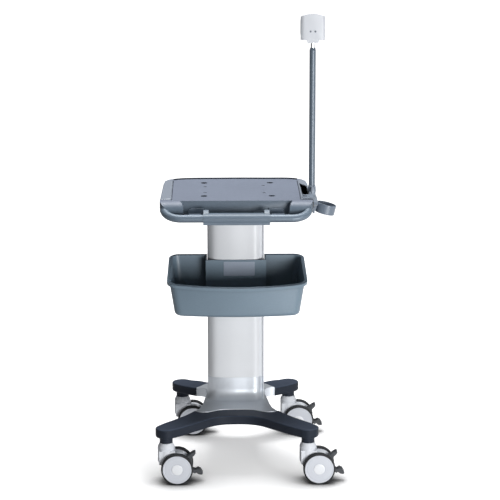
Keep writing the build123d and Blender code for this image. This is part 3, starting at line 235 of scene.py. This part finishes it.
def tray_shell_painted_flank_shade(name, deck, flank_shade_colour):
    """tray shell: the up-facing deck takes the lighter colour and the flanks a deeper one as painted shade; the deck
    is a little rougher
    """
    m = Mat(name)
    big = m.noise(6.0, 3.0)
    fine = m.noise(650.0, 2.0)
    edge, normal = m.edge(0.0016)
    geo = m.t.nodes.new("ShaderNodeNewGeometry")
    sep_n = m.t.nodes.new("ShaderNodeSeparateXYZ")
    m.link(geo.outputs["Normal"], sep_n.inputs[0])
    # painted shade: the facing picks between the deck colour and the darker flank colour
    up = m.span(sep_n.outputs["Z"], 0.0, 1.0, 0.55, 0.97)
    col = m.mix(up, m.ramp(big, [(0.3, shade(flank_shade_colour, 0.96)), (0.7, shade(flank_shade_colour, 1.04))]),
                m.ramp(big, [(0.3, shade(deck, 0.97)), (0.7, shade(deck, 1.03))]))
    speck = m.ramp(fine, [(0.35, (0.92, 0.92, 0.92)), (0.65, (1.07, 1.07, 1.07))])
    mul = m.t.nodes.new("ShaderNodeMix")
    mul.data_type = "RGBA"
    mul.blend_type = "MULTIPLY"
    mul.inputs[0].default_value = 1.0
    m.link(col, mul.inputs[6])
    m.link(speck, mul.inputs[7])
    scuff = m.noise(55.0, 4.0)
    worn = m.math("MULTIPLY", edge, m.span(scuff, 0.10, 0.7, 0.35, 0.65))
    m.link(m.mix(worn, mul.outputs[2], shade(deck, 1.12)), m.p.inputs["Base Color"])
    m.link(m.math("ADD", m.span(scuff, 0.34, 0.46, 0.3, 0.7), m.math("MULTIPLY", up, 0.08)), m.p.inputs["Roughness"])
    m.p.inputs["Specular IOR Level"].default_value = 0.28
    m.link(m.bump(fine, 0.35, 0.00009, normal), m.p.inputs["Normal"])
    return m.m


def painted_hollow_shade(material, reach, low):
    """painted shade: base colour darkened where ambient occlusion finds hollow places"""
    t = material.node_tree
    p = next(n for n in t.nodes if n.type == "BSDF_PRINCIPLED")
    colour = p.inputs["Base Color"].links[0].from_socket
    ao = t.nodes.new("ShaderNodeAmbientOcclusion")
    ao.samples = 8
    ao.inputs["Distance"].default_value = reach
    span = t.nodes.new("ShaderNodeMapRange")
    span.inputs["From Min"].default_value = 0.25
    span.inputs["From Max"].default_value = 0.9
    span.inputs["To Min"].default_value = low
    span.inputs["To Max"].default_value = 1.0
    t.links.new(ao.outputs["AO"], span.inputs["Value"])
    mul = t.nodes.new("ShaderNodeMix")
    mul.data_type = "RGBA"
    mul.blend_type = "MULTIPLY"
    mul.inputs[0].default_value = 1.0
    t.links.new(colour, mul.inputs[6])
    t.links.new(span.outputs[0], mul.inputs[7])
    t.links.new(mul.outputs[2], p.inputs["Base Color"])


M = {
    "cast_aluminium": cast("cast aluminium", srgb(0.80, 0.82, 0.845), 0.44),
    "dark_leg_coat": coat("dark leg coat", srgb(0.25, 0.282, 0.34), 0.50, spec=0.11),
    "column_coat": coat("column coat", srgb(0.875, 0.885, 0.90), 0.36, wear=1.05),
    "zinc_screw": steel("zinc screw", srgb(0.72, 0.73, 0.75), 0.3, (700.0, 700.0, 700.0)),
    "dark_screw": steel("dark screw", srgb(0.34, 0.36, 0.40), 0.35, (700.0, 700.0, 700.0)),
    "steel": steel("turned steel", srgb(0.72, 0.73, 0.75), 0.3),
    "plate_steel": coat("plate coat", srgb(0.36, 0.38, 0.42), 0.5),
    "caster_grey": plastic("caster grey", srgb(0.86, 0.875, 0.90), 0.42, 800.0, mottle=0.02, wear=1.05),
    "caster_cap": plastic("caster cap", srgb(0.86, 0.875, 0.90), 0.36, 800.0, mottle=0.02, wear=1.05),
    "tyre_grey": rubber("tyre grey", srgb(0.15, 0.155, 0.165)),
    "pedal_dark": plastic("pedal dark", srgb(0.235, 0.245, 0.26), 0.46, 700.0),
    "basket_grey": plastic("basket grey", srgb(0.435, 0.505, 0.56), 0.40, 650.0, depth=0.00009),
    "label_grey": plastic("label grey", srgb(0.60, 0.64, 0.70), 0.30, 1200.0, depth=0.00002),
    # tray grey: the second colour is painted shade for the flanks
    "tray_grey": tray_shell_painted_flank_shade("tray grey", srgb(0.46, 0.49, 0.55), srgb(0.355, 0.405, 0.455)),
    "tray_dark": plastic("tray dark", srgb(0.38, 0.42, 0.48), 0.5, 650.0),
    "rail_light": plastic("rail light", srgb(0.535, 0.565, 0.61), 0.34, 900.0, mottle=0.02),
    "black_plastic": plastic("black plastic", srgb(0.13, 0.14, 0.16), 0.4, 900.0),
    "handle_metal": coat("handle coat", srgb(0.40, 0.455, 0.51), 0.42, metallic=0.10),
    "grip_grey": plastic("grip grey", srgb(0.39, 0.445, 0.50), 0.46, 520.0, depth=0.0001),
    "stay_dark": plastic("stay dark", srgb(0.40, 0.45, 0.505), 0.46, 650.0),
    "bracket_grey": plastic("bracket grey", srgb(0.47, 0.51, 0.56), 0.4, 700.0),
    "pole_metal": coat("pole coat", srgb(0.37, 0.42, 0.47), 0.36, metallic=0.1),
    "stem_steel": steel("stem steel", srgb(0.80, 0.81, 0.82), 0.22),
    "block_dark": plastic("block dark", srgb(0.30, 0.32, 0.36), 0.45, 800.0),
    "plate_white": coat("plate white", srgb(0.825, 0.84, 0.865), 0.4, wear=1.05),
    "ring_grey": plastic("ring grey", srgb(0.42, 0.465, 0.52), 0.36, 900.0),
}


def cap_of(name, cx, cy):
    """caster cap whose round hub centre is painted brighter as a highlight and made glossier; cx, cy: swivel axis in
    working millimetres
    """
    base = srgb(0.80, 0.815, 0.845)
    m = Mat(name)
    fine = m.noise(800.0, 2.0)
    big = m.noise(9.0, 3.0)
    edge, normal = m.edge(0.0012)
    hub = at(cx + 34.0, cy, 50.0)
    gap = m.t.nodes.new("ShaderNodeVectorMath")
    gap.operation = "SUBTRACT"
    m.link(m.tc.outputs["Object"], gap.inputs[0])
    gap.inputs[1].default_value = hub
    flat = m.t.nodes.new("ShaderNodeVectorMath")
    flat.operation = "MULTIPLY"
    m.link(gap.outputs[0], flat.inputs[0])
    flat.inputs[1].default_value = (1.0, 0.0, 1.0)
    size = m.t.nodes.new("ShaderNodeVectorMath")
    size.operation = "LENGTH"
    m.link(flat.outputs[0], size.inputs[0])
    r = size.outputs["Value"]
    hub_highlight_and_gloss = m.span(r, 1.0, 0.0, 0.0162, 0.0178)
    ring = m.math("MULTIPLY", m.span(r, 0.0, 1.0, 0.0246, 0.0252), m.span(r, 1.0, 0.0, 0.0252, 0.0258))
    col = m.ramp(big, [(0.3, shade(base, 0.98)), (0.7, shade(base, 1.02))])
    col = m.mix(m.math("MULTIPLY", ring, 0.30), col, shade(base, 0.72))
    # painted highlight: the hub centre takes a lighter colour
    col = m.mix(hub_highlight_and_gloss, col, srgb(0.90, 0.91, 0.925))
    scuff = m.noise(60.0, 4.0)
    m.link(m.mix(m.math("MULTIPLY", edge, 0.4), col, shade(base, 1.08)), m.p.inputs["Base Color"])
    m.link(m.math("SUBTRACT", m.span(scuff, 0.34, 0.50, 0.3, 0.8), m.math("MULTIPLY", hub_highlight_and_gloss, 0.10)), m.p.inputs["Roughness"])
    m.p.inputs["Specular IOR Level"].default_value = 0.45
    m.link(m.bump(fine, 0.3, 0.00005, normal), m.p.inputs["Normal"])
    return m.m


def painted_slope_shade(material, z0, z1, low):
    """painted shade: deeper colour on the faces that turn away from the sky"""
    t = material.node_tree
    p = next(n for n in t.nodes if n.type == "BSDF_PRINCIPLED")
    colour = p.inputs["Base Color"].links[0].from_socket
    geo = t.nodes.new("ShaderNodeNewGeometry")
    sep_n = t.nodes.new("ShaderNodeSeparateXYZ")
    t.links.new(geo.outputs["Normal"], sep_n.inputs[0])
    span = t.nodes.new("ShaderNodeMapRange")
    span.inputs["From Min"].default_value = z0
    span.inputs["From Max"].default_value = z1
    span.inputs["To Min"].default_value = low
    span.inputs["To Max"].default_value = 1.0
    t.links.new(sep_n.outputs["Z"], span.inputs["Value"])
    mul = t.nodes.new("ShaderNodeMix")
    mul.data_type = "RGBA"
    mul.blend_type = "MULTIPLY"
    mul.inputs[0].default_value = 1.0
    t.links.new(colour, mul.inputs[6])
    t.links.new(span.outputs[0], mul.inputs[7])
    t.links.new(mul.outputs[2], p.inputs["Base Color"])


# painted shade inside the basket's hollow places
painted_hollow_shade(M["basket_grey"], 0.16, 0.58)
# painted shade on the leg flanks and on the handle's underside
painted_slope_shade(M["dark_leg_coat"], 0.2, 0.9, 0.38)
painted_slope_shade(M["handle_metal"], -0.9, 0.1, 0.62)

CASTERS = {"front_left": (-221.5, -240.0), "front_right": (221.5, -240.0), "rear_left": (-177.0, 265.0), "rear_right": (177.0, 265.0)}
LIP = plastic("rear lip", srgb(0.21, 0.245, 0.29), 0.45, 900.0, wear=1.0, mottle=0.02)
CAPS = {k: cap_of("caster cap " + k.replace("_", " "), *v) for k, v in CASTERS.items()}
slot_of = {s["node"]: s["material_slot"] for s in frame["record"]["subparts"]}
for name, ob in nodes.items():
    mat = M[slot_of[name]]
    if name == "tray_rear_lip":
        mat = LIP
    if name == "head_screws":
        mat = M["dark_screw"]
    if name.endswith("_hub"):
        mat = CAPS[name.rsplit("_", 2)[0]]
    ob.data.materials.clear()
    ob.data.materials.append(mat)

# ---------------------------------------------------------------------------
# moulded and cast edges get a real radius on top of the CAD shape
# ---------------------------------------------------------------------------
def soften(name, width, angle=32.0, segments=2):
    ob = nodes[name]
    w = ob.modifiers.new("weld", "WELD")
    w.merge_threshold = 0.00002
    d = ob.modifiers.new("planes", "DECIMATE")
    d.decimate_type = "DISSOLVE"
    d.angle_limit = math.radians(0.6)
    b = ob.modifiers.new("radius", "BEVEL")
    b.width = width
    b.segments = segments
    b.limit_method = "ANGLE"
    b.angle_limit = math.radians(angle)
    b.miter_outer = "MITER_ARC"
    b.use_clamp_overlap = True
    b.harden_normals = False
    n = ob.modifiers.new("normals", "WEIGHTED_NORMAL")
    n.keep_sharp = False
    n.weight = 60


SOFT = {"tray_top": 0.0014, "tray_bottom": 0.0008, "side_bracket": 0.0008, "handle_stays": 0.0016, "handle_grip": 0.0012,
        "head_block": 0.0007, "head_plate": 0.0004, "side_slot_liner": 0.0006,
        "tray_left_rail": 0.0006, "tray_right_rail": 0.0006, "basket_label": 0.0002, "ring_holder": 0.0003}
for soft_name, soft_width in SOFT.items():
    if soft_name in nodes:
        for p_ in nodes[soft_name].data.polygons:
            p_.use_smooth = True
        soften(soft_name, soft_width)

# ---------------------------------------------------------------------------
# small webs that close the joint between the tray's skirt and its two horns
# ---------------------------------------------------------------------------
def web(name, sx):
    x0, x1 = 0.1594 * sx + XO, 0.1668 * sx + XO
    y0, y1 = WEB_Y + YO, WEB_Y + 0.0021 + YO
    z0, z1 = 0.8162, 0.8358
    v = [(x, y, z) for x in (min(x0, x1), max(x0, x1)) for y in (y0, y1) for z in (z0, z1)]
    f = [(0, 1, 3, 2), (4, 6, 7, 5), (0, 4, 5, 1), (2, 3, 7, 6), (0, 2, 6, 4), (1, 5, 7, 3)]
    me = bpy.data.meshes.new(name)
    me.from_pydata(v, [], f)
    me.validate()
    ob = bpy.data.objects.new(name, me)
    scene.collection.objects.link(ob)
    me.materials.append(M["tray_grey"])
    b = ob.modifiers.new("radius", "BEVEL")
    b.width = 0.0004
    b.segments = 2
    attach(ob, "trolley")
    return ob


WEB_Y = -0.1160 + 0.0003
for web_name, web_side in (("skirt_web_left", -1), ("skirt_web_right", 1)):
    web(web_name, web_side)

# ---------------------------------------------------------------------------
# stage, light and camera
# ---------------------------------------------------------------------------
FLOOR_GLOW, FLOOR_BACK = 0.44, 0.24
WORLD = (0.06, 0.22, 0.06, -0.03)          # level at the horizon, growth upwards, to the right, to the back
TOP_W, KEY_W = 160.0, 118.0
floor_mesh = bpy.data.meshes.new("floor")
R = 60.0
floor_mesh.from_pydata([(-R, -R, 0), (R, -R, 0), (R, R, 0), (-R, R, 0)], [], [(0, 1, 2, 3)])
floor = bpy.data.objects.new("floor", floor_mesh)
scene.collection.objects.link(floor)
fm = Mat("floor")
fcol = fm.ramp(fm.noise(0.6, 3.0), [(0.3, (0.885, 0.885, 0.89)), (0.7, (0.90, 0.90, 0.905))])
# painted contact shadow: ambient occlusion darkens the floor colour and its glow close under the trolley
contact_shadow_ao = fm.t.nodes.new("ShaderNodeAmbientOcclusion")
contact_shadow_ao.samples = 12
contact_shadow_ao.inputs["Distance"].default_value = 0.14
shade_near = fm.span(contact_shadow_ao.outputs["AO"], 0.0, 1.0, 0.36, 0.97)
fm.link(fm.mix(shade_near, (0.10, 0.10, 0.105, 1.0), fcol), fm.p.inputs["Base Color"])
fm.p.inputs["Roughness"].default_value = 0.9
fm.p.inputs["Specular IOR Level"].default_value = 0.05
fm.p.inputs["Emission Color"].default_value = (1.0, 1.0, 1.0, 1.0)
# glow grows away from the trolley, so that the backdrop runs out to white
away = fm.t.nodes.new("ShaderNodeVectorMath")
away.operation = "LENGTH"
fm.link(fm.tc.outputs["Object"], away.inputs[0])
fm.link(fm.math("MULTIPLY", fm.span(away.outputs["Value"], FLOOR_GLOW, 0.95, 0.45, 2.6), shade_near), fm.p.inputs["Emission Strength"])
# for reflections the floor falls off towards the left, as beside a dark flat
fsep = fm.t.nodes.new("ShaderNodeSeparateXYZ")
fm.link(fm.tc.outputs["Object"], fsep.inputs[0])
flag = fm.t.nodes.new("ShaderNodeBsdfDiffuse")
flag.inputs["Color"].default_value = (0.25, 0.25, 0.26, 1.0)
left = fm.span(fsep.outputs["X"], 0.75, 0.0, -0.9, 0.1)
# the floor throws little light back up at the trolley
dim = fm.t.nodes.new("ShaderNodeBsdfDiffuse")
dim.inputs["Color"].default_value = (FLOOR_BACK, FLOOR_BACK, FLOOR_BACK, 1.0)
seen = fm.t.nodes.new("ShaderNodeLightPath")
both = fm.t.nodes.new("ShaderNodeMixShader")
fm.link(seen.outputs["Is Diffuse Ray"], both.inputs[0])
fm.link(fm.p.outputs[0], both.inputs[1])
fm.link(dim.outputs[0], both.inputs[2])
gloss = fm.t.nodes.new("ShaderNodeMixShader")
fm.link(fm.math("MULTIPLY", seen.outputs["Is Glossy Ray"], left), gloss.inputs[0])
fm.link(both.outputs[0], gloss.inputs[1])
fm.link(flag.outputs[0], gloss.inputs[2])
fm.link(gloss.outputs[0], fm.out.inputs[0])
floor_mesh.materials.append(fm.m)

world = bpy.data.worlds.new("studio")
scene.world = world
world.use_nodes = True
wt = world.node_tree
wt.nodes.clear()
wo = wt.nodes.new("ShaderNodeOutputWorld")
bg = wt.nodes.new("ShaderNodeBackground")
tc = wt.nodes.new("ShaderNodeTexCoord")
sep = wt.nodes.new("ShaderNodeSeparateXYZ")
wt.links.new(tc.outputs["Generated"], sep.inputs[0])


def wmath(op, a, b, clamp=False):
    n = wt.nodes.new("ShaderNodeMath")
    n.operation = op
    n.use_clamp = clamp
    for i, v in enumerate((a, b)):
        if isinstance(v, (int, float)):
            n.inputs[i].default_value = v
        else:
            wt.links.new(v, n.inputs[i])
    return n.outputs[0]


level = wmath("ADD", WORLD[0], wmath("MULTIPLY", sep.outputs["Z"], WORLD[1]))
level = wmath("ADD", level, wmath("MULTIPLY", sep.outputs["X"], WORLD[2]))
level = wmath("ADD", level, wmath("MULTIPLY", sep.outputs["Y"], WORLD[3]))
level = wmath("MAXIMUM", level, 0.04)
wt.links.new(level, bg.inputs["Strength"])
bg.inputs["Color"].default_value = (0.985, 0.99, 1.0, 1.0)
white = wt.nodes.new("ShaderNodeBackground")
white.inputs["Strength"].default_value = 1.0
white.inputs["Color"].default_value = (1.0, 1.0, 1.0, 1.0)
path = wt.nodes.new("ShaderNodeLightPath")
pick = wt.nodes.new("ShaderNodeMixShader")
wt.links.new(path.outputs["Is Camera Ray"], pick.inputs[0])
wt.links.new(bg.outputs[0], pick.inputs[1])
wt.links.new(white.outputs[0], pick.inputs[2])
wt.links.new(pick.outputs[0], wo.inputs[0])


def area(name, loc, target, size, power, color=(1, 1, 1)):
    d = bpy.data.lights.new(name, "AREA")
    d.shape = "RECTANGLE"
    d.size, d.size_y = size
    d.energy = power
    d.color = color
    o = bpy.data.objects.new(name, d)
    o.location = loc
    o.rotation_euler = (Vector(target) - Vector(loc)).to_track_quat("-Z", "Y").to_euler()
    scene.collection.objects.link(o)
    return o


area("top", (0.0, 0.6, 4.0), (0, 0, 0), (1.8, 1.8), TOP_W)
area("key", (1.7, -3.3, 0.55), (0, 0, 0.5), (1.6, 1.0), KEY_W)

cam = bpy.data.cameras.new("camera")
cam.sensor_width = 36.0
cam.lens = 154.8
cam.clip_end = 200.0
cam_ob = bpy.data.objects.new("camera", cam)
scene.collection.objects.link(cam_ob)
th, ps = math.radians(12.9), math.radians(1.0)
fwd = Vector((math.sin(ps) * math.cos(th), math.cos(ps) * math.cos(th), -math.sin(th)))
rgt = Vector((math.cos(ps), -math.sin(ps), 0.0))
upv = rgt.cross(fwd)
rot = Matrix((rgt, upv, -fwd)).transposed().to_4x4()
cam_ob.matrix_world = Matrix.Translation(Vector((-0.071724 + XO, -6.653024 + YO, 2.210369))) @ rot
scene.camera = cam_ob
scene.view_settings.view_transform = "Standard"
scene.view_settings.look = "None"
